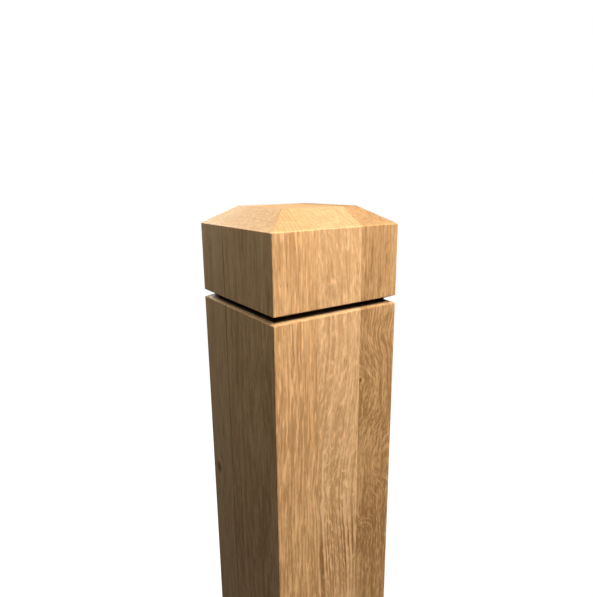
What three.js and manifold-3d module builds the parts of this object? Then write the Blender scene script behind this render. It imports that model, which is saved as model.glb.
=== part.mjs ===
// Laminated oak newel post: a square shaft with a bevelled cap block above a shadow groove.
// Millimetres, +Z up. The origin is the centre of the foot, the front face looks along -Y
// and the left face along -X.
import * as THREE from 'three';
import { mergeVertices } from 'three/addons/utils/BufferGeometryUtils.js';
import Module from 'manifold-3d';

// Driving dimensions of the machined post
const postWidth = 90;
const postHeight = 1460;
const capBlockHeight = 44.5;
const grooveHeight = 5;
const grooveFloor = 0.8;
const grooveDepth = 5;
const bevelRun = 18;
const bevelRise = 11;
const edgeEase = 0.8;

// Driving dimensions of the glued-up blank
const leftBoardWidth = 29.5;
const rightBoardWidth = 29;
const leftRearDepth = 31.5;
const glueLine = 0.2;

// Finish of each stave, as the photograph shows it
const oak = { roughness: 0.55, metalness: 0 };
const leftFrontOak = new THREE.MeshStandardMaterial({ color: 0xd9a76f, ...oak });
const leftRearOak = new THREE.MeshStandardMaterial({ color: 0xdcae78, ...oak });
const middleOak = new THREE.MeshStandardMaterial({ color: 0xdeb07c, ...oak });
const rightOak = new THREE.MeshStandardMaterial({ color: 0xc08f5c, ...oak });

// Levels and joint planes that follow from the driving dimensions
const halfWidth = postWidth / 2;
const eavesLevel = postHeight - bevelRise;
const grooveTop = eavesLevel - capBlockHeight;
const shaftTop = grooveTop - grooveHeight;
const grooveLevel = grooveTop - grooveHeight / 2;
const leftSeam = -halfWidth + leftBoardWidth;
const rightSeam = halfWidth - rightBoardWidth;
const depthSeam = halfWidth - leftRearDepth;
const halfGlue = glueLine / 2;

const wasm = await Module();
wasm.setup();

// A closed three.js geometry as a solid that can be cut.
function solidOf(geometry) {
  const bare = geometry.clone();
  bare.deleteAttribute('normal');
  bare.deleteAttribute('uv');
  const merged = mergeVertices(bare, 1e-4);
  return new wasm.Manifold(new wasm.Mesh({
    numProp: 3,
    vertProperties: new Float32Array(merged.attributes.position.array),
    triVerts: new Uint32Array(merged.index.array),
  }));
}

// A cut solid as a three.js geometry with flat faces.
function geometryOf(solid) {
  const mesh = solid.getMesh();
  const shared = new THREE.BufferGeometry();
  shared.setAttribute('position', new THREE.BufferAttribute(new Float32Array(mesh.vertProperties), 3));
  shared.setIndex(new THREE.BufferAttribute(new Uint32Array(mesh.triVerts), 1));
  const flat = shared.toNonIndexed();
  flat.computeVertexNormals();
  return flat;
}

// The side profile from foot to top, as distance from the mid-plane and height. The groove's
// walls slope in to a narrow floor. A corner marked eased loses its sharp edge to a small flat.
const profile = [
  { at: [0, 0] },
  { at: [halfWidth, 0], eased: true },
  { at: [halfWidth, shaftTop], eased: true },
  { at: [halfWidth - grooveDepth, grooveLevel - grooveFloor / 2] },
  { at: [halfWidth - grooveDepth, grooveLevel + grooveFloor / 2] },
  { at: [halfWidth, grooveTop], eased: true },
  { at: [halfWidth, eavesLevel], eased: true },
  { at: [halfWidth - bevelRun, postHeight], eased: true },
  { at: [0, postHeight] },
];

// Each eased corner becomes two points, one on each side of it, edgeEase away.
function easedOutline(corners) {
  const places = corners.map((corner) => new THREE.Vector2(...corner.at));
  return corners.flatMap((corner, i) => {
    if (!corner.eased) {
      return [places[i]];
    }
    const towards = (other) => other.clone().sub(places[i]).setLength(edgeEase).add(places[i]);
    return [towards(places[i - 1]), towards(places[i + 1])];
  });
}

// The machined form. The profile swept over the four sides of a square is a lathe of four
// segments, and its corners lie further out than its faces by the root of two.
function machinedForm() {
  const swept = easedOutline(profile).map((p) => new THREE.Vector2(p.x * Math.SQRT2, p.y));
  const sides = new THREE.LatheGeometry(swept, 4, Math.PI / 4);
  sides.rotateX(Math.PI / 2);
  const upright = (postWidth - edgeEase) * Math.SQRT2;
  const corners = new THREE.BoxGeometry(upright, upright, 2 * postHeight);
  corners.rotateZ(Math.PI / 4);
  return solidOf(sides).intersect(solidOf(corners));
}

// The upright region that one board fills, between two joint planes or open to the outside.
function boardRegion([xLow, xHigh], [yLow, yHigh]) {
  const region = new THREE.BoxGeometry(xHigh - xLow, yHigh - yLow, 3 * postHeight);
  region.translate((xLow + xHigh) / 2, (yLow + yHigh) / 2, 0);
  return solidOf(region);
}

// The boards of the blank. A board that reaches the outside is open there, to a whole
// post width, and the machined form gives its faces.
const leftBoard = [-postWidth, leftSeam - halfGlue];
const middleBoard = [leftSeam + halfGlue, rightSeam - halfGlue];
const rightBoard = [rightSeam + halfGlue, postWidth];
const fullDepth = [-postWidth, postWidth];
const frontDepth = [-postWidth, depthSeam - halfGlue];
const rearDepth = [depthSeam + halfGlue, postWidth];

const staves = [
  { name: 'left_front_stave', across: leftBoard, along: frontDepth, finish: leftFrontOak },
  { name: 'left_rear_stave', across: leftBoard, along: rearDepth, finish: leftRearOak },
  { name: 'middle_stave', across: middleBoard, along: fullDepth, finish: middleOak },
  { name: 'right_stave', across: rightBoard, along: fullDepth, finish: rightOak },
];

const post = new THREE.Group();
const form = machinedForm();
for (const stave of staves) {
  const solid = form.intersect(boardRegion(stave.across, stave.along));
  const mesh = new THREE.Mesh(geometryOf(solid), stave.finish);
  mesh.name = stave.name;
  post.add(mesh);
}

export default post;
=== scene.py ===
"""Laminated oak newel post: finely machined staves, procedural oak and a plain pale studio."""
import math

import bpy
import numpy as np
from bpy.props import FloatProperty, FloatVectorProperty, PointerProperty
from bpy.types import Operator, Panel, PropertyGroup
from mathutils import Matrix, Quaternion, Vector


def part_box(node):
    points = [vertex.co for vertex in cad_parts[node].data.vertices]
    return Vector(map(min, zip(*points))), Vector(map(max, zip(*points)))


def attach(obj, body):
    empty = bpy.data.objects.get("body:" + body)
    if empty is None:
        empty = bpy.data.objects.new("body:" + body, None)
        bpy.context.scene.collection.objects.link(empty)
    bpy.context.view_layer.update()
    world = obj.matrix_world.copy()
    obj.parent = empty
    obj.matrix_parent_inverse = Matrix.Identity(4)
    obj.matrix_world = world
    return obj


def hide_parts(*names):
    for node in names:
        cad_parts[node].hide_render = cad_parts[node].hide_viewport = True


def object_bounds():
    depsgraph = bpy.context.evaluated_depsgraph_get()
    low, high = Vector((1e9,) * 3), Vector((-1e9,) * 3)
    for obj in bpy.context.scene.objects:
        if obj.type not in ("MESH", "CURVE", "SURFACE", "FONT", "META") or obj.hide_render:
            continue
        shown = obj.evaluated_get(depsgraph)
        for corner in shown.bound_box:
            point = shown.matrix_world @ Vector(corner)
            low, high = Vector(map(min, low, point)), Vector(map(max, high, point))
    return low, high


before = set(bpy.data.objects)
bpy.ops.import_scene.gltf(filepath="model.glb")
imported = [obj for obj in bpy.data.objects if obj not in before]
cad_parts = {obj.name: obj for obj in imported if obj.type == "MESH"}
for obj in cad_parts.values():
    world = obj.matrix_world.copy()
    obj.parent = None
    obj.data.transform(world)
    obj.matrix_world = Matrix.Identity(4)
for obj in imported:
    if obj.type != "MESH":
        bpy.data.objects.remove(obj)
FRAME_BOX = [list(corner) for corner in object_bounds()]
FRAME_LOW, FRAME_HIGH = (np.array(corner) for corner in FRAME_BOX)

bl_info = {
    "name": "Laminated Oak Newel Post",
    "version": (1, 0, 0),
    "blender": (4, 5, 0),
    "location": "3D View > Sidebar > Newel Post",
    "description": "Machined staves, oak finishes and a studio for the newel post",
    "category": "Add Mesh",
}

MM = 0.001

# Spacing of the mesh along an outside face, and inside a glue joint
FINE_STEP = 0.8 * MM
JOINT_STEP = 6 * MM

# Points on each rounded corner, and how close to it the next points lie, in plan and in profile, so
# that the faces stay flat in the shading
ARC_POINTS = 6
PLAN_MARGIN = 0.6 * MM
PROFILE_MARGIN = 0.7 * MM

# How far an edge's radius wavers, as a share of the radius, and over what length along the edge
WAVER = 0.3
WAVER_LENGTH = 9 * MM

# Rings of points on each end of a stave, as shares of the way from its middle to its edge
END_RINGS = (0.3, 0.6, 0.85, 0.97)

# Small chips out of the cap block's lower edge: x, y, width and depth in millimetres
CHIPS = [
    (-38, -45, 0.8, 0.7),
    (-34.6, -45, 0.7, 1.1),
    (-33, -45, 0.5, 0.6),
    (-17, -45, 0.9, 0.7),
    (-45, -30, 0.8, 0.6),
]


def length(name, description, default):
    """A length property in metres."""
    return FloatProperty(
        name=name, description=description, default=default, unit="LENGTH", precision=5
    )


def colour(name, description, default):
    """A colour property in linear red, green and blue."""
    return FloatVectorProperty(
        name=name, description=description, default=default, subtype="COLOR", min=0, max=1
    )


def angle(name, description, degrees):
    """An angle property, given in degrees."""
    return FloatProperty(
        name=name, description=description, default=math.radians(degrees), subtype="ANGLE"
    )


def strength(name, description, default):
    """The strength of a lamp or light."""
    return FloatProperty(name=name, description=description, default=default)


class NEWEL_PG_machining(PropertyGroup):
    """Sizes of the machined form, from the foot to the flat top."""

    half_width: length("Half width", "From the post's axis to each face", float(FRAME_HIGH[0]))
    height: length("Height", "From the foot to the flat top", float(FRAME_HIGH[2]))
    cap_block: length("Cap block", "Upright face of the cap block", 44.5 * MM)
    groove_height: length("Groove height", "Mouth of the shadow groove, which narrows inwards", 5 * MM)
    groove_floor: length("Groove floor", "Height of the groove at its bottom", 0.8 * MM)
    groove_depth: length("Groove depth", "How far the groove goes in", 5 * MM)
    bevel_run: length("Bevel run", "How far each bevel goes in", 18 * MM)
    bevel_rise: length("Bevel rise", "How far each bevel goes up", 11 * MM)
    arris: length("Arris", "Radius of the eased outer edges", 0.55 * MM)
    groove_lip: length("Groove lip", "Radius of the cap block's lower edge", 0.35 * MM)
    inner_corner: length("Inner corner", "Radius in the corners of the groove", 0.25 * MM)
    glue_line: length("Glue line", "Room left between two staves", 0.02 * MM)


class NEWEL_PG_oak(PropertyGroup):
    """Pale and dark wood of each stave."""

    left_front_pale: colour("Left front, pale", "Pale wood, left front", (0.72, 0.438, 0.216))
    left_front_dark: colour("Left front, dark", "Dark wood, left front", (0.46, 0.251, 0.106))
    left_rear_pale: colour("Left rear, pale", "Pale wood, left rear", (0.74, 0.472, 0.247))
    left_rear_dark: colour("Left rear, dark", "Dark wood, left rear", (0.5, 0.288, 0.13))
    middle_pale: colour("Middle, pale", "Pale wood, middle", (0.745, 0.474, 0.252))
    middle_dark: colour("Middle, dark", "Dark wood, middle", (0.5, 0.29, 0.131))
    right_pale: colour("Right, pale", "Pale wood, right", (0.57, 0.343, 0.16))
    right_dark: colour("Right, dark", "Dark wood, right", (0.31, 0.164, 0.063))
    knot: colour("Knot", "Heart of a small knot", (0.09, 0.035, 0.014))


class NEWEL_PG_stage(PropertyGroup):
    """Camera, lamps and floor."""

    camera_place: FloatVectorProperty(
        name="Camera", description="Where the camera stands", default=(-0.17075, -0.25556, 1.47375),
        subtype="TRANSLATION", precision=5,
    )
    camera_heading: angle("Heading", "Turn of the camera from +Y towards +X", 33.75)
    camera_dip: angle("Dip", "How far the camera looks down", 13.5)
    camera_roll: angle("Roll", "Tilt of the camera about its line of sight", -0.65)
    lens: FloatProperty(name="Lens", description="Focal length in millimetres", default=29)
    floor_near: colour("Floor near", "Pale floor by the foot", (0.5, 0.54, 0.58))
    floor_far: colour("Floor far", "Floor far away", (0.1, 0.1, 0.1))
    glow_near: colour("Glow near", "Light the floor gives out by the foot", (0.38, 0.38, 0.38))
    glow_far: colour("Glow far", "Light the floor gives out far away", (0.97, 0.97, 0.97))
    key_power: strength("Key lamp", "Watts of the small lamp above the front", 4.3)
    fill_power: strength("Fill lamp", "Watts of the large lamp, high at the front and right", 68)
    low_power: strength("Low lamp", "Watts of the lamp for the lower shaft", 2.2)
    side_power: strength("Side lamp", "Watts of the weak lamp above the left face", 0.86)
    back_power: strength("Back lamp", "Watts of the large lamp behind", 60)
    top_strength: strength("Top light", "Strength of the light from straight above", 0.6)
    surround: strength("Surround", "Strength of the light all round", 0.073)


class Link:
    """A socket's value in a material, with the operators that shader maths needs."""

    def __init__(self, graph, socket):
        self.graph = graph
        self.socket = socket

    def maths(self, operation, *others):
        """The result of one Math node that starts with this value."""
        return self.graph.node("ShaderNodeMath", {"operation": operation}, (self, *others))

    def __add__(self, other):
        return self.maths("ADD", other)

    __radd__ = __add__

    def __sub__(self, other):
        return self.maths("SUBTRACT", other)

    def __rsub__(self, other):
        return self.graph.node("ShaderNodeMath", {"operation": "SUBTRACT"}, (other, self))

    def __mul__(self, other):
        return self.maths("MULTIPLY", other)

    __rmul__ = __mul__

    def __truediv__(self, other):
        return self.maths("DIVIDE", other)


class Graph:
    """The node tree of a material or world, built by expressions."""

    def __init__(self, owner):
        owner.use_nodes = True
        self.owner = owner
        self.tree = owner.node_tree
        self.tree.nodes.clear()

    def node(self, kind, settings=None, inputs=(), output=0):
        """One node: its settings first, then values or links for its sockets by order or name."""
        made = self.tree.nodes.new(kind)
        for key, value in (settings or {}).items():
            setattr(made, key, value)
        pairs = inputs.items() if isinstance(inputs, dict) else enumerate(inputs)
        for key, value in pairs:
            if isinstance(value, Link):
                self.tree.links.new(value.socket, made.inputs[key])
            else:
                made.inputs[key].default_value = value
        return Link(self, made.outputs[output]) if len(made.outputs) else None

    def vector(self, operation, *inputs):
        """One Vector Math node with a vector result."""
        return self.node("ShaderNodeVectorMath", {"operation": operation}, inputs)

    def stretch(self, place, shares):
        """A place with each of its three coordinates multiplied by its share."""
        return self.vector("MULTIPLY", place, shares)

    def scaled(self, place, share):
        """A vector times a number or value."""
        settings = {"operation": "SCALE"}
        return self.node("ShaderNodeVectorMath", settings, {"Vector": place, "Scale": share})

    def point(self, x, y, z):
        """Three values as one place."""
        return self.node("ShaderNodeCombineXYZ", {}, (x, y, z))

    def coordinate(self, place, axis):
        """One coordinate of a place."""
        return self.node("ShaderNodeSeparateXYZ", {}, (place,), axis)

    def squared(self, place):
        """The squared length of a vector."""
        return self.node("ShaderNodeVectorMath", {"operation": "DOT_PRODUCT"}, (place, place), "Value")

    def noise(self, place, detail=1.0, roughness=0.5, output="Fac"):
        """Smooth noise from 0 to 1 at a place whose unit is one blob."""
        inputs = {"Vector": place, "Scale": 1.0, "Detail": detail, "Roughness": roughness}
        return self.node("ShaderNodeTexNoise", {}, inputs, output)

    def smooth(self, value, low, high):
        """0 below low and 1 above high, with a soft step between."""
        settings = {"interpolation_type": "SMOOTHSTEP"}
        inputs = {"Value": value, "From Min": low, "From Max": high}
        return self.node("ShaderNodeMapRange", settings, inputs)

    def held(self, value):
        """A value kept between 0 and 1."""
        return value.maths("MAXIMUM", 0.0).maths("MINIMUM", 1.0)

    def mix(self, share, first, second):
        """A blend of two colours."""
        return self.node("ShaderNodeMix", {"data_type": "RGBA"}, {0: share, 6: first, 7: second}, 2)

    def near(self, place, centre, reach):
        """A bell curve about a centre, with its reach along each axis, and the way from the centre."""
        away = self.vector("SUBTRACT", place, centre)
        spread = self.stretch(away, [1 / r for r in reach])
        return (self.squared(spread) * -1).maths("EXPONENT"), away


def opaque(rgb, shares=(1, 1, 1)):
    """A colour times a share for each channel, at most 1, as the four numbers of a colour socket."""
    return (*(min(1.0, channel * share) for channel, share in zip(rgb, shares)), 1.0)


# Colours made from a stave's own: shares of its dark wood, and of its pale wood for the ray fleck
LINE_SHARES = (0.6, 0.52, 0.42)
PORE_SHARES = (0.45, 0.45, 0.45)
JOINT_SHARES = (0.4, 0.4, 0.4)
FLECK_SHARES = (1.15, 1.15, 1.15)
# Painted light: the left and right bevels made brighter and yellower, standing in for warmer light on
# them
SIDE_BEVEL_PAINTED_LIGHT = (1.035, 1.05, 0.94)

# The middle of a noise colour, which is no shift
NO_SHIFT = (0.5, 0.5, 0.5)

# How far the fibres part round a knot, in sizes of the knot, and how strongly they are pushed aside
KNOT_SWIRL = 3.2
KNOT_PUSH = 0.7

# Half width of the dark line that a glue joint makes on a face, in millimetres
JOINT_LINE = 0.6

# Noise drawn out along the trunk: how many blobs there are to a millimetre outwards from the pith,
# round it and up it, then the noise's detail and roughness
FIBRE_NOISE = ((0.7, 0.34, 0.05), 3, 0.62)
STREAK_NOISE = ((0.26, 0.26, 0.008), 2, 0.55)
SCALE_NOISE = ((0.55, 0.75, 0.2), 2.5, 0.6)
PORE_NOISE = ((1.5, 1.5, 0.16), 2, 0.6)

# Where the wood's tone lies between its dark and pale colours, and its roughness, before the grain
MEAN_TONE = 0.56
MEAN_ROUGHNESS = 0.52

# How dark the shade painted inside the groove is, and how much darker the wood is where it is cut
# across its fibres, as shares of its colour
GROOVE_PAINTED_SHADE = 0.93
CUT_DARKENING = 0.14

# How strong the annual rings are on the front and back bevels, how much of that the left and right
# bevels lack, and how strong the sanding lines are on those
RING_CUT = 0.45
RING_CUT_LACK = 0.35
SANDING = 0.3

# Sanding lines to a metre along the edge of a bevel, and breaks in them to a metre of its depth
SANDING_LINES = 620
SANDING_BREAKS = 45

# The shares of a stave's grain that a local figure adds to. Slant leans the fibres sideways and
# cross tilts the rays, both in millimetres for each millimetre of height. Bow shifts the fibres, and
# ripple is how far they wave, in millimetres. Scaly is the strength of the short scales, rings that
# of the soft earlywood and lines that of its dark streaks. Shade makes the wood paler or darker, and
# gain is the contrast of it all.
FIGURE_KEYS = ("slant", "cross", "bow", "ripple", "scaly", "rings", "lines", "shade", "gain")

# The grain of each stave, in millimetres. Besides the shares above, pith is the x and y of the
# trunk's middle, mean_radius the stave's distance from it, taper the trunk's change of width with
# height, and ring the width of a year. Ray is the strength of the pale fleck and ray_shade that of
# its uneven ground, followed by the rays' thickness, depth, height and lean. Fibre is the strength
# of the fine streaks, wander the reach of slow bends, and wave_length the height of a wave. Joints
# are the places along y of glue lines on the left face. A figure has a centre and a reach, and a
# knot has a centre, a size and a depth of colour.
LEFT_FRONT_GRAIN = {
    "pith": (-190, -12), "mean_radius": 160, "taper": 0.006, "ring": 2.3,
    "ray": 0.8, "ray_shade": 0.9, "ray_thick": 0.28, "ray_deep": 26, "ray_tall": 15,
    "ray_lean": -0.008, "fibre": 2.7, "wander": 5, "wave_length": 40,
    "slant": 0.0, "cross": 0.0, "bow": 0.0, "ripple": 0.8, "scaly": 0.7, "rings": 0.45,
    "lines": 0.0, "shade": 0.0, "gain": 1.0,
    "joints": [13.5],
    "figures": [
        {"centre": (-30, -25, 1445), "reach": (40, 60, 40), "gain": -0.3},
        {"centre": (-30, -45, 1320), "reach": (24, 26, 50), "slant": -0.05, "gain": 0.15},
        # Painted shade: the next two figures darken the wood low on the left front and left faces,
        # standing in for the light falling off down the post; the first also raises the grain's
        # contrast
        {"centre": (-30, -45, 1240), "reach": (24, 26, 50), "shade": -0.13, "gain": 0.3},
        {"centre": (-45, -20, 1235), "reach": (20, 34, 45), "shade": -0.16},
        {"centre": (-18, -45, 1252), "reach": (4, 20, 17),
         "ripple": 3.5, "rings": 0.6, "lines": 0.6, "shade": 0.15},
        {"centre": (-19, -45, 1286), "reach": (4, 20, 11),
         "bow": 1.5, "ripple": 2.0, "lines": 0.3, "shade": 0.1},
    ],
    "knots": [],
}
LEFT_REAR_GRAIN = {
    **LEFT_FRONT_GRAIN, "pith": (-210, 70), "mean_radius": 185, "ring": 2.0,
    "ray": 0.4, "gain": 0.55, "figures": [],
    "knots": [((-45, 36, 1273.5), (5, 3.6, 4.8), 0.72)],
}
MIDDLE_GRAIN = {
    **LEFT_FRONT_GRAIN, "pith": (210, -5), "mean_radius": 212, "ring": 2.8, "joints": [],
    "ray": 0.6, "ray_thick": 0.26, "ray_tall": 8, "ray_lean": 0.0,
    "fibre": 2.4, "wave_length": 24, "ripple": 1.0, "scaly": 1.9, "gain": 0.95,
    "figures": [
        {"centre": (0, -45, 1440), "reach": (30, 60, 30), "shade": -0.1, "gain": -0.4},
        {"centre": (0, -45, 1385), "reach": (24, 26, 22), "gain": -0.25},
        {"centre": (-2, -45, 1335), "reach": (20, 26, 75), "slant": -0.19, "ripple": 0.7},
        {"centre": (2, -45, 1300), "reach": (16, 26, 22),
         "cross": -0.1, "ripple": 1.2, "scaly": 0.8},
        {"centre": (-6, -45, 1290), "reach": (10, 26, 22),
         "ripple": 1.4, "scaly": 0.8, "shade": -0.2, "gain": 0.4},
        {"centre": (0, -45, 1236), "reach": (19, 26, 32),
         "ripple": 0.8, "rings": 1.1, "lines": 2.6, "gain": 0.45},
    ],
}
RIGHT_GRAIN = {
    **LEFT_FRONT_GRAIN, "pith": (230, 10), "mean_radius": 200, "ring": 2.3, "joints": [],
    "ray": 0.6, "ray_tall": 9, "ray_lean": 0.0,
    "fibre": 2.4, "wave_length": 24, "ripple": 1.2, "scaly": 1.7, "gain": 1.0,
    "figures": [
        {"centre": (30, -45, 1440), "reach": (30, 60, 30), "scaly": -0.8, "gain": -0.15},
        {"centre": (33, -45, 1380), "reach": (12, 24, 11),
         "bow": 4.5, "rings": 1.0, "ripple": 0.8},
        {"centre": (22, -45, 1352), "reach": (8, 24, 10), "bow": -2.0, "rings": 0.6},
        {"centre": (30, -45, 1318), "reach": (18, 24, 34),
         "cross": -0.35, "slant": -0.1, "ripple": 2.2, "scaly": 1.0},
        {"centre": (22, -45, 1335), "reach": (12, 24, 24), "shade": -0.28, "gain": 0.25},
        {"centre": (19, -45, 1250), "reach": (8, 24, 16),
         "cross": 0.4, "bow": 2.5, "ripple": 4.5, "rings": 0.8},
        {"centre": (24, -45, 1248), "reach": (13, 24, 24),
         "shade": -0.3, "lines": 0.35, "gain": 0.3},
        {"centre": (33, -45, 1230), "reach": (12, 24, 13),
         "ripple": 3.2, "scaly": 1.0, "rings": 0.8, "gain": 0.4},
    ],
    "knots": [((17.2, -45, 1354), (1.4, 5, 1.9), 0.85)],
}


def knots_and_figures(g, place, grain):
    """The place with the fibres pushed aside round each knot, the knots' dark hearts, and the shares
    of the grain with each local figure added.

    A knot or figure counts fully at its centre and falls off as a bell curve. Slant and cross grow
    with the height above the figure's centre, so that they turn the grain.
    """
    heart = 0.0
    for centre, size, depth in grain["knots"]:
        near, away = g.near(place, centre, [KNOT_SWIRL * s for s in size])
        core, _ = g.near(place, centre, size)
        place = g.vector("SUBTRACT", place, g.scaled(away, near * KNOT_PUSH))
        heart = g.smooth(core, 0.05, 0.95) * depth + heart
    shares = {key: grain[key] for key in FIGURE_KEYS}
    for figure in grain["figures"]:
        near, away = g.near(place, figure["centre"], figure["reach"])
        for key in [key for key in shares if key in figure]:
            swing = g.coordinate(away, "Z") if key in ("slant", "cross") else 1
            shares[key] = near * figure[key] * swing + shares[key]
    return place, heart, shares


def fibre_place(g, place, grain, shares):
    """Where a place lies in the trunk: its distance from the pith, its way round, and its height.

    The place is shifted by slow bends, by quick waves, and sideways by the figure's slant and bow.
    """
    bends = g.noise(g.stretch(place, (1 / 42, 1 / 42, 1 / 230)), 1, 0.5, "Color")
    waves = g.noise(g.stretch(place, (1 / 9, 1 / 9, 1 / grain["wave_length"])), 2, 0.5, "Color")
    bent = g.scaled(g.vector("SUBTRACT", bends, NO_SHIFT), grain["wander"])
    waved = g.scaled(g.vector("SUBTRACT", waves, NO_SHIFT), shares["ripple"])
    leaning = g.point(shares["slant"] + shares["bow"], 0.0, 0.0)
    shifted = g.vector("ADD", g.vector("ADD", place, leaning), g.vector("ADD", bent, waved))
    from_pith = g.vector("SUBTRACT", shifted, (*grain["pith"], 0))
    across, inward, along = (g.coordinate(from_pith, axis) for axis in "XYZ")
    radius = (across * across + inward * inward).maths("SQRT") + along * grain["taper"]
    around = inward.maths("ARCTAN2", across) * grain["mean_radius"]
    around = around + along * grain["ray_lean"] + shares["cross"]
    return radius, around, along


def earlywood(g, radius, around, along, ring_width):
    """The share of soft earlywood, a saw-tooth of the distance from the pith: a steep rise at the
    start of each ring and a slow fall. Rings differ in width and strength, and each is broken up."""
    uneven = g.noise(g.point(radius / 7, 0.0, along / 300), 1.5)
    ring = radius / ring_width + uneven * 3.2
    share = ring.maths("FRACT")
    early = (1 - g.smooth(share, 0.08, 0.6)) * g.smooth(share, 0.0, 0.12)
    settings = {"noise_dimensions": "1D"}
    year = g.node("ShaderNodeTexWhiteNoise", settings, {"W": ring.maths("FLOOR")})
    broken = g.smooth(g.noise(g.point(radius / 3, around / 6, along / 22), 2), 0.3, 0.65)
    return early * (0.25 + year * 0.75) * (0.35 + broken * 0.65)


def machined_zones_and_painted_shade(g):
    """How the cutter has left the wood, as four shares from 0 to 1.

    The first is where the cut crosses the fibres, on the bevels and the top. The second is what is
    left of the wood's colour: less on those cuts, where end grain is darker, and least inside the
    groove, where shade is painted dark. The third is 1 on the left and right bevels, and the last is
    fine sanding lines down their slope.
    """
    sizes = bpy.context.scene.newel_machining
    place = g.node("ShaderNodeTexCoord", output="Object")
    x, y, z = (g.coordinate(place, axis) for axis in "XYZ")
    from_middle = [axis.maths("ABSOLUTE") for axis in (x, y)]
    outward = from_middle[0].maths("MAXIMUM", from_middle[1])
    half, top = sizes.half_width, sizes.height
    eaves = top - sizes.bevel_rise
    groove_top = eaves - sizes.cap_block
    shaft_top = groove_top - sizes.groove_height
    inside = 1 - g.smooth(outward, half - 3.2 * MM, half - 1.0 * MM)
    over_shaft = g.smooth(z, shaft_top - 0.2 * MM, shaft_top)
    under_cap = 1 - g.smooth(z, groove_top, groove_top + 0.2 * MM)
    end_grain = g.smooth(z, eaves + 0.3 * MM, eaves + 0.8 * MM)
    # Painted shade: the inside of the groove darkened almost to black, standing in for its shadow
    painted_groove_shade = inside * (over_shaft * under_cap) * GROOVE_PAINTED_SHADE
    colour_after_cut_and_painted_shade = 1 - painted_groove_shade - end_grain * CUT_DARKENING
    facing_side = g.smooth(from_middle[0] - from_middle[1], -0.2 * MM, 0.2 * MM)
    side_bevel = facing_side * (1 - g.smooth(z, top - 0.7 * MM, top - 0.2 * MM))
    lines = g.noise(g.point(y * SANDING_LINES, outward * SANDING_BREAKS, 0.0), 2, 0.6)
    return end_grain, colour_after_cut_and_painted_shade, side_bevel, g.smooth(lines, 0.48, 0.72)


def drawn_out(g, trunk, blobs, detail, roughness):
    """Noise with its own number of blobs to a millimetre outwards, round and up the trunk."""
    return g.noise(g.point(*(way * blob for way, blob in zip(trunk, blobs))), detail, roughness)


def oak(name, pale, dark, knot, grain):
    """Solid oak, worked out in space so that faces, bevels and end grain agree.

    The rings are shells about a pith line. The rays are thin sheets that run outwards from the pith,
    so they are blots on a face that lies along them and fine lines on one that crosses them. The
    pores are short dark dashes, most of them in the soft start of each ring. Fibre, streaks and
    scales are noise drawn out along the trunk, fine to coarse, and clouds are a slow change of tone.
    """
    g = Graph(bpy.data.materials.new(name))
    metres = g.node("ShaderNodeTexCoord", output="Object")
    place = g.vector("MULTIPLY", metres, (1000, 1000, 1000))
    place, heart, shares = knots_and_figures(g, place, grain)
    trunk = fibre_place(g, place, grain, shares)
    early = earlywood(g, *trunk, grain["ring"])

    noises = (FIBRE_NOISE, STREAK_NOISE, SCALE_NOISE, PORE_NOISE)
    fibre, streak, scale, pore = (drawn_out(g, trunk, *noise) for noise in noises)
    pore = g.smooth(pore, 0.54, 0.68) * (0.35 + early * 0.8)
    radius, around, along = trunk
    ray_size = (grain["ray_thick"], grain["ray_deep"], grain["ray_tall"])
    ray_at = g.point(*(way / size for way, size in zip((around, radius, along), ray_size)))
    ray_ground = g.noise(ray_at, 1.5, 0.5)
    ray = g.smooth(ray_ground, 0.57, 0.7)
    cloud = g.noise(g.stretch(place, (1 / 30, 1 / 30, 1 / 90)), 2, 0.5)

    end_grain, colour_after_cut_and_painted_shade, side_bevel, sanded = machined_zones_and_painted_shade(g)
    fine = (fibre - 0.5) * grain["fibre"] + (ray_ground - 0.5) * grain["ray_shade"]
    coarse = (streak - 0.5) * 1.5 + (cloud - 0.5) * 0.6 + (scale - 0.5) * shares["scaly"]
    coarse = coarse - early * shares["rings"]
    swing = fine * (1 - end_grain * 0.2) + coarse * (1 - end_grain * 0.55)
    tone = swing * shares["gain"] + MEAN_TONE + shares["shade"]
    wood = g.mix(g.held(tone), opaque(dark), opaque(pale))

    line_colour = opaque(dark, LINE_SHARES)
    ring_cut = end_grain * (RING_CUT - side_bevel * RING_CUT_LACK)
    wood = g.mix(early * (ring_cut + shares["lines"]), wood, line_colour)
    sanding = sanded * side_bevel * end_grain * shares["gain"] * SANDING
    wood = g.mix(sanding, wood, line_colour)
    # Painted light: the left and right bevels tinted brighter and yellower
    wood = g.mix(side_bevel * end_grain, wood, g.stretch(wood, SIDE_BEVEL_PAINTED_LIGHT))
    wood = g.mix(ray * (1 - end_grain * 0.5) * grain["ray"], wood, opaque(pale, FLECK_SHARES))
    wood = g.mix(pore * 0.55, wood, opaque(dark, PORE_SHARES))
    wood = g.mix(heart, wood, opaque(knot))
    for level in grain["joints"]:
        away = (g.coordinate(place, "Y") - level) / JOINT_LINE
        line = (away * away * -1).maths("EXPONENT")
        wood = g.mix(line * (1 - end_grain) * 0.65, wood, opaque(dark, JOINT_SHARES))
    # Darker where the end grain is cut, and painted shade inside the groove
    wood = g.mix(1 - colour_after_cut_and_painted_shade, wood, (0, 0, 0, 1))

    height = (fibre * 0.35 - pore - early * 0.25) * (1 - end_grain * 0.65)
    relief = {"Strength": 0.35, "Distance": 0.25 * MM, "Height": height}
    finish = {
        "Base Color": wood,
        "Roughness": MEAN_ROUGHNESS + pore * 0.2 - ray * 0.07,
        "Normal": g.node("ShaderNodeBump", {}, relief),
        "IOR": 1.45,
        "Specular IOR Level": 0.25,
    }
    shader = g.node("ShaderNodeBsdfPrincipled", {}, finish)
    g.node("ShaderNodeOutputMaterial", {}, {"Surface": shader})
    return g.owner


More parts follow.
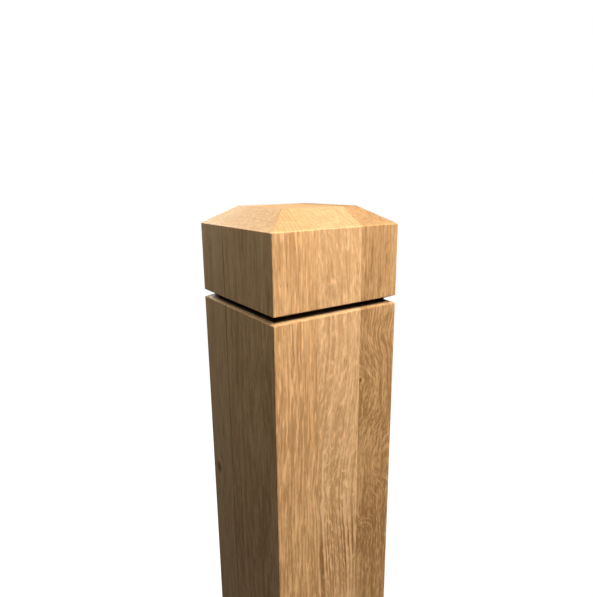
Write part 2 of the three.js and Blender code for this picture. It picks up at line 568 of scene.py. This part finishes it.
def waver(places, seed):
    """A smooth run of values about zero: five sines of unlike length, with seeded phases."""
    phases = np.random.default_rng(seed).uniform(0, 2 * math.pi, 5)
    lengths = WAVER_LENGTH * np.array([0.31, 0.57, 1, 1.9, 3.7])
    turns = places[:, None] / lengths
    return np.sin(2 * math.pi * turns + phases).sum(axis=1) / 5


def steps(span, spacing):
    """Shares from 0 to 1, without the ends, that cut a span into even steps of about the spacing."""
    count = max(1, round(span / spacing))
    return np.arange(1, count) / count


def stave_ring(low, high, sizes):
    """The outline of a stave seen from above, as shares.

    Each point of the ring is a fixed place, plus a share of the post's half width, plus a share of
    the radius of an eased corner: x = a + b * half + c * radius, and the same for y. A side that lies
    on the outside of the post follows the half width, and one on a glue line stays where it is.
    """
    half = sizes.half_width
    reach = joint_reach(sizes)
    levels = (low[0], high[0], low[1], high[1])
    outer = [abs(abs(level) - half) < 1e-6 for level in levels]
    west, east, south, north = (
        (0.0, sign, 0.0) if out else (level + sign * reach, 0.0, 0.0)
        for level, out, sign in zip(levels, outer, (-1, 1, -1, 1))
    )
    corners = [
        ((west, south), outer[0] and outer[2], 180, (-1, -1)),
        ((east, south), outer[1] and outer[2], 270, (1, -1)),
        ((east, north), outer[1] and outer[3], 0, (1, 1)),
        ((west, north), outer[0] and outer[3], 90, (-1, 1)),
    ]
    arcs = []
    for (x, y), eased, first_angle, (sign_x, sign_y) in corners:
        if not eased:
            arcs.append(np.array([[x, y]]))
            continue
        angles = np.radians(first_angle + np.linspace(0, 90, ARC_POINTS))
        arcs.append(np.array([
            ((x[0], x[1], math.cos(a) - sign_x), (y[0], y[1], math.sin(a) - sign_y)) for a in angles
        ]))
    points = []
    at_half = np.array([1, half, 0])
    shown = (outer[2], outer[1], outer[3], outer[0])
    for arc, following, seen in zip(arcs, arcs[1:] + arcs[:1], shown):
        start, end = arc[-1], following[0]
        points.append(arc)
        span = np.linalg.norm((end - start) @ at_half)
        shares = steps(span, FINE_STEP if seen else JOINT_STEP)
        margin = PLAN_MARGIN / span
        shares = shares[(shares > margin) & (shares < 1 - margin)]
        shares = np.concatenate([[margin], shares, [1 - margin]])
        points.append(start + shares[:, None, None] * (end - start))
    return np.concatenate(points)


def joint_reach(sizes):
    """How far a stave reaches past its frame node at a joint, to leave only the fine glue line."""
    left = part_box("left_front_stave")[1][0]
    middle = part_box("middle_stave")[0][0]
    return (middle - left - sizes.glue_line) / 2


def rounded_corner(corner, before, after):
    """Points of the arc that rounds a corner of radius 1, as steps away from the corner.

    The arc's centre lies on the line that halves the corner. The points go round it by equal angles
    from where the arc leaves one side to where it meets the other.
    """
    back, ahead = before - corner, after - corner
    back, ahead = back / np.linalg.norm(back), ahead / np.linalg.norm(ahead)
    opening = math.acos(np.clip(back @ ahead, -1, 1))
    centre = (back + ahead) / np.linalg.norm(back + ahead) / math.sin(opening / 2)
    first = back / math.tan(opening / 2) - centre
    last = ahead / math.tan(opening / 2) - centre
    turn = math.pi - opening
    return [
        centre + (math.sin((1 - t) * turn) * first + math.sin(t * turn) * last) / math.sin(turn)
        for t in np.linspace(0, 1, ARC_POINTS)
    ]


def stave_profile(sizes, ring, seed):
    """Half width and height of each point of the stave, row by row from the foot to the top.

    Each corner of the upright profile is an arc whose radius wavers along the edge, and rows on
    straight stretches divide the way between two arcs.
    """
    half, top = sizes.half_width, sizes.height
    eaves = top - sizes.bevel_rise
    groove_top = eaves - sizes.cap_block
    shaft_top = groove_top - sizes.groove_height
    groove_middle = (shaft_top + groove_top) / 2
    neck, half_floor = half - sizes.groove_depth, sizes.groove_floor / 2
    corners = [
        ((half, 0.0), sizes.arris),
        ((half, shaft_top), sizes.arris),
        ((neck, groove_middle - half_floor), sizes.inner_corner),
        ((neck, groove_middle + half_floor), sizes.inner_corner),
        ((half, groove_top), sizes.groove_lip),
        ((half, eaves), sizes.arris),
        ((half - sizes.bevel_run, top), sizes.arris),
    ]
    chipped_corner = 4
    spacings = [24 * MM, 1.4 * MM, 1.4 * MM, 1.4 * MM, 2.5 * MM, 1.5 * MM]
    plan = ring @ np.array([1, half, 0])
    run = plan[:, 0] * 1.3 + plan[:, 1]
    places = [np.array(p) for p in [(0.0, 0.0)] + [c[0] for c in corners] + [(0.0, top)]]
    rows_half, rows_height, last = [], [], None
    for index, (_, radius) in enumerate(corners):
        before, here, after = places[index:index + 3]
        radii = radius * (1 + WAVER * waver(run, seed + index))
        if index == chipped_corner:
            radii = radii + tear_out(plan)
        arc = rounded_corner(here, before, after)
        halves = [here[0] + radii * step[0] for step in arc]
        heights = [here[1] + radii * step[1] for step in arc]
        if last is not None:
            gap = np.linalg.norm(here - before)
            shares = steps(gap, spacings[index - 1])
            if gap > 10 * MM:
                margin = PROFILE_MARGIN / gap
                shares = np.concatenate([[margin], shares, [1 - margin]])
            rows_half += [last[0] + share * (halves[0] - last[0]) for share in shares]
            rows_height += [last[1] + share * (heights[0] - last[1]) for share in shares]
        rows_half += halves
        rows_height += heights
        last = (halves[-1], heights[-1])
    return np.array(rows_half), np.array(rows_height)


def tear_out(plan):
    """Extra radius of the cap's lower edge where small chips have torn out, as bell curves."""
    extra = np.zeros(len(plan))
    for x, y, wide, deep in CHIPS:
        away = (plan[:, 0] - x * MM) ** 2 + (plan[:, 1] - y * MM) ** 2
        extra += deep * MM * np.exp(-away / (wide * MM) ** 2)
    return extra


def stave_mesh(name, low, high, sizes, seed):
    """A stave as one closed surface: its ring in plan carried up its profile, and a fan on each end."""
    ring = stave_ring(low, high, sizes)
    halves, heights = stave_profile(sizes, ring, seed)
    corner_radius = sizes.arris * 0.9 * np.ones_like(halves)
    terms = np.stack([np.ones_like(halves), halves, corner_radius], axis=-1)
    x = np.einsum("rct,ct->rc", terms, ring[:, 0, :])
    y = np.einsum("rct,ct->rc", terms, ring[:, 1, :])
    grid = np.stack([x, y, heights], axis=-1)

    foot, crown = grid[0].mean(axis=0), grid[-1].mean(axis=0)
    under = [foot + share * (grid[0] - foot) for share in END_RINGS]
    over = [crown + share * (grid[-1] - crown) for share in reversed(END_RINGS)]
    grid = np.concatenate([np.array(under), grid, np.array(over)])
    rows, columns = grid.shape[:2]
    vertices = np.concatenate([grid.reshape(-1, 3), [foot, crown]])
    here = np.arange(rows * columns).reshape(rows, columns)
    beside = np.roll(here, -1, axis=1)
    quads = np.stack([here[:-1], beside[:-1], beside[1:], here[1:]], axis=-1).reshape(-1, 4)
    foot_index, crown_index = rows * columns, rows * columns + 1
    foot_fan = np.stack([np.full(columns, foot_index), beside[0], here[0]], axis=-1)
    crown_fan = np.stack([np.full(columns, crown_index), here[-1], beside[-1]], axis=-1)
    mesh = bpy.data.meshes.new(name)
    faces = quads.tolist() + foot_fan.tolist() + crown_fan.tolist()
    mesh.from_pydata(vertices.tolist(), [], faces)
    mesh.shade_smooth()
    mesh.set_sharp_from_angle(angle=math.radians(40))
    return mesh


def make_stave(scene, node, pale, dark, grain, seed):
    """One stave in place of its frame node."""
    low, high = (np.array(corner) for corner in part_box(node))
    mesh = stave_mesh(f"oak_{node}", low, high, scene.newel_machining, seed)
    mesh.materials.append(oak(f"{node}_oak", pale, dark, scene.newel_oak.knot, grain))
    piece = bpy.data.objects.new(f"oak_{node}", mesh)
    scene.collection.objects.link(piece)
    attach(piece, "root")
    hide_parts(node)


class NEWEL_OT_left_staves(Operator):
    """Make the two staves of the left board, front and rear"""

    bl_idname = "newel.left_staves"
    bl_label = "Left Staves"

    def execute(self, context):
        wood = context.scene.newel_oak
        make_stave(
            context.scene, "left_front_stave",
            wood.left_front_pale, wood.left_front_dark, LEFT_FRONT_GRAIN, seed=11,
        )
        make_stave(
            context.scene, "left_rear_stave",
            wood.left_rear_pale, wood.left_rear_dark, LEFT_REAR_GRAIN, seed=23,
        )
        return {"FINISHED"}


class NEWEL_OT_middle_stave(Operator):
    """Make the middle stave"""

    bl_idname = "newel.middle_stave"
    bl_label = "Middle Stave"

    def execute(self, context):
        wood = context.scene.newel_oak
        make_stave(
            context.scene, "middle_stave",
            wood.middle_pale, wood.middle_dark, MIDDLE_GRAIN, seed=37,
        )
        return {"FINISHED"}


class NEWEL_OT_right_stave(Operator):
    """Make the darker right stave"""

    bl_idname = "newel.right_stave"
    bl_label = "Right Stave"

    def execute(self, context):
        wood = context.scene.newel_oak
        make_stave(
            context.scene, "right_stave",
            wood.right_pale, wood.right_dark, RIGHT_GRAIN, seed=51,
        )
        return {"FINISHED"}


WARM = (1.0, 0.93, 0.86)
WARMER = (1.0, 0.92, 0.77)
AMBER = (1.0, 0.9, 0.76)
SUNLIT = (1.0, 0.95, 0.82)
COOL = (0.92, 0.98, 0.97)

# Each lamp's name, kind, stage setting for its strength, place, target and other settings, in metres
LAMPS = [
    ("top_light", "SUN", "top_strength", (0, 0, 3), (0, 0, 0), {"angle": 0.5, "color": SUNLIT}),
    ("key_lamp", "AREA", "key_power", (0.16, -0.35, 1.83), (0, 0, 1.37),
     {"size": 0.14, "color": WARM}),
    ("fill_lamp", "AREA", "fill_power", (1.6, -1.9, 3.4), (0, 0, 0.7),
     {"size": 1.2, "color": WARMER}),
    ("low_lamp", "AREA", "low_power", (1.2, -2.0, 0.8), (0, 0, 0.25),
     {"size": 0.8, "spread": math.radians(36), "color": WARMER}),
    ("side_lamp", "AREA", "side_power", (-0.34, 0.06, 1.86), (0, 0, 1.36),
     {"size": 0.25, "specular_factor": 0.2, "color": COOL}),
    ("back_lamp", "AREA", "back_power", (0.3, 2.4, 1.9), (0, 0, 0.8),
     {"size": 1.4, "specular_factor": 0.0, "color": AMBER}),
]

# Half the side of the floor, and the ring over which its near finish blends into its far one
FLOOR_HALF = 12.0
FLOOR_BLEND = (0.2, 1.5)


def make_floor(scene, stage):
    """A pale floor with a little light of its own, more of it further out, so that it ends in white."""
    mesh = bpy.data.meshes.new("studio_floor")
    corners = [(-1, -1), (1, -1), (1, 1), (-1, 1)]
    mesh.from_pydata([(x * FLOOR_HALF, y * FLOOR_HALF, 0) for x, y in corners], [], [(0, 1, 2, 3)])
    floor = bpy.data.objects.new("studio_floor", mesh)
    scene.collection.objects.link(floor)
    g = Graph(bpy.data.materials.new("pale_floor"))
    place = g.node("ShaderNodeTexCoord", output="Object")
    far = g.smooth(g.squared(place).maths("SQRT"), *FLOOR_BLEND)
    finish = {
        "Base Color": g.mix(far, opaque(stage.floor_near), opaque(stage.floor_far)),
        "Roughness": 0.8,
        "Emission Color": g.mix(far, opaque(stage.glow_near), opaque(stage.glow_far)),
        "Emission Strength": 1.0,
    }
    g.node("ShaderNodeOutputMaterial", {}, {"Surface": g.node("ShaderNodeBsdfPrincipled", {}, finish)})
    mesh.materials.append(g.owner)
    floor.visible_diffuse = False
    floor.visible_glossy = False


def make_lamps(scene, stage):
    """The lamps, each turned to look at its target."""
    for name, kind, power, place, target, settings in LAMPS:
        data = bpy.data.lights.new(name, kind)
        data.energy = getattr(stage, power)
        for key, value in settings.items():
            setattr(data, key, value)
        made = bpy.data.objects.new(name, data)
        made.location = place
        towards = Vector(target) - Vector(place)
        made.rotation_euler = towards.to_track_quat("-Z", "Y").to_euler()
        scene.collection.objects.link(made)


def make_surround(scene, stage):
    """A white backdrop that gives only weak light itself."""
    g = Graph(bpy.data.worlds.new("studio_world"))
    seen = g.node("ShaderNodeBackground", {}, {"Color": (1, 1, 1, 1)})
    faint = {"Color": (0.9, 0.96, 1.0, 1), "Strength": stage.surround}
    light = g.node("ShaderNodeBackground", {}, faint)
    in_view = g.node("ShaderNodeLightPath", output="Is Camera Ray")
    either = g.node("ShaderNodeMixShader", {}, (in_view, light, seen))
    g.node("ShaderNodeOutputWorld", {}, {"Surface": either})
    scene.world = g.owner
    scene.view_settings.view_transform = "Standard"


def make_camera(scene, stage):
    """The camera, close to the post's top at the front left."""
    data = bpy.data.cameras.new("studio_camera")
    data.lens = stage.lens
    data.clip_start = 0.01
    camera = bpy.data.objects.new("studio_camera", data)
    camera.location = stage.camera_place
    camera.rotation_mode = "QUATERNION"
    heading, dip = stage.camera_heading, stage.camera_dip
    level = Vector((math.sin(heading), math.cos(heading), 0))
    ahead = level * math.cos(dip) - Vector((0, 0, math.sin(dip)))
    roll = Quaternion((0, 0, 1), stage.camera_roll)
    camera.rotation_quaternion = ahead.to_track_quat("-Z", "Y") @ roll
    scene.collection.objects.link(camera)
    scene.camera = camera


class NEWEL_OT_stage(Operator):
    """Make the pale floor, the lamps, the white surround and the camera"""

    bl_idname = "newel.stage"
    bl_label = "Studio"

    def execute(self, context):
        scene = context.scene
        stage = scene.newel_stage
        make_floor(scene, stage)
        make_lamps(scene, stage)
        make_surround(scene, stage)
        make_camera(scene, stage)
        return {"FINISHED"}


class NEWEL_PT_sidebar(Panel):
    """The newel post's pieces and studio"""

    bl_idname = "NEWEL_PT_sidebar"
    bl_label = "Newel Post"
    bl_space_type = "VIEW_3D"
    bl_region_type = "UI"
    bl_category = "Newel Post"

    def draw(self, context):
        for maker in OPERATORS:
            self.layout.operator(maker.bl_idname)


OPERATORS = (NEWEL_OT_left_staves, NEWEL_OT_middle_stave, NEWEL_OT_right_stave, NEWEL_OT_stage)
GROUPS = (NEWEL_PG_machining, NEWEL_PG_oak, NEWEL_PG_stage)


def register():
    """Add the classes, and the settings to the scene."""
    for item in (*GROUPS, *OPERATORS, NEWEL_PT_sidebar):
        bpy.utils.register_class(item)
    bpy.types.Scene.newel_machining = PointerProperty(type=NEWEL_PG_machining)
    bpy.types.Scene.newel_oak = PointerProperty(type=NEWEL_PG_oak)
    bpy.types.Scene.newel_stage = PointerProperty(type=NEWEL_PG_stage)


def unregister():
    """Take the settings and the classes away again."""
    del bpy.types.Scene.newel_stage
    del bpy.types.Scene.newel_oak
    del bpy.types.Scene.newel_machining
    for item in reversed((*GROUPS, *OPERATORS, NEWEL_PT_sidebar)):
        bpy.utils.unregister_class(item)


def main():
    """Make the dressed post and its studio."""
    register()
    bpy.ops.newel.left_staves()
    bpy.ops.newel.middle_stave()
    bpy.ops.newel.right_stave()
    bpy.ops.newel.stage()


if __name__ == "__main__":
    main()
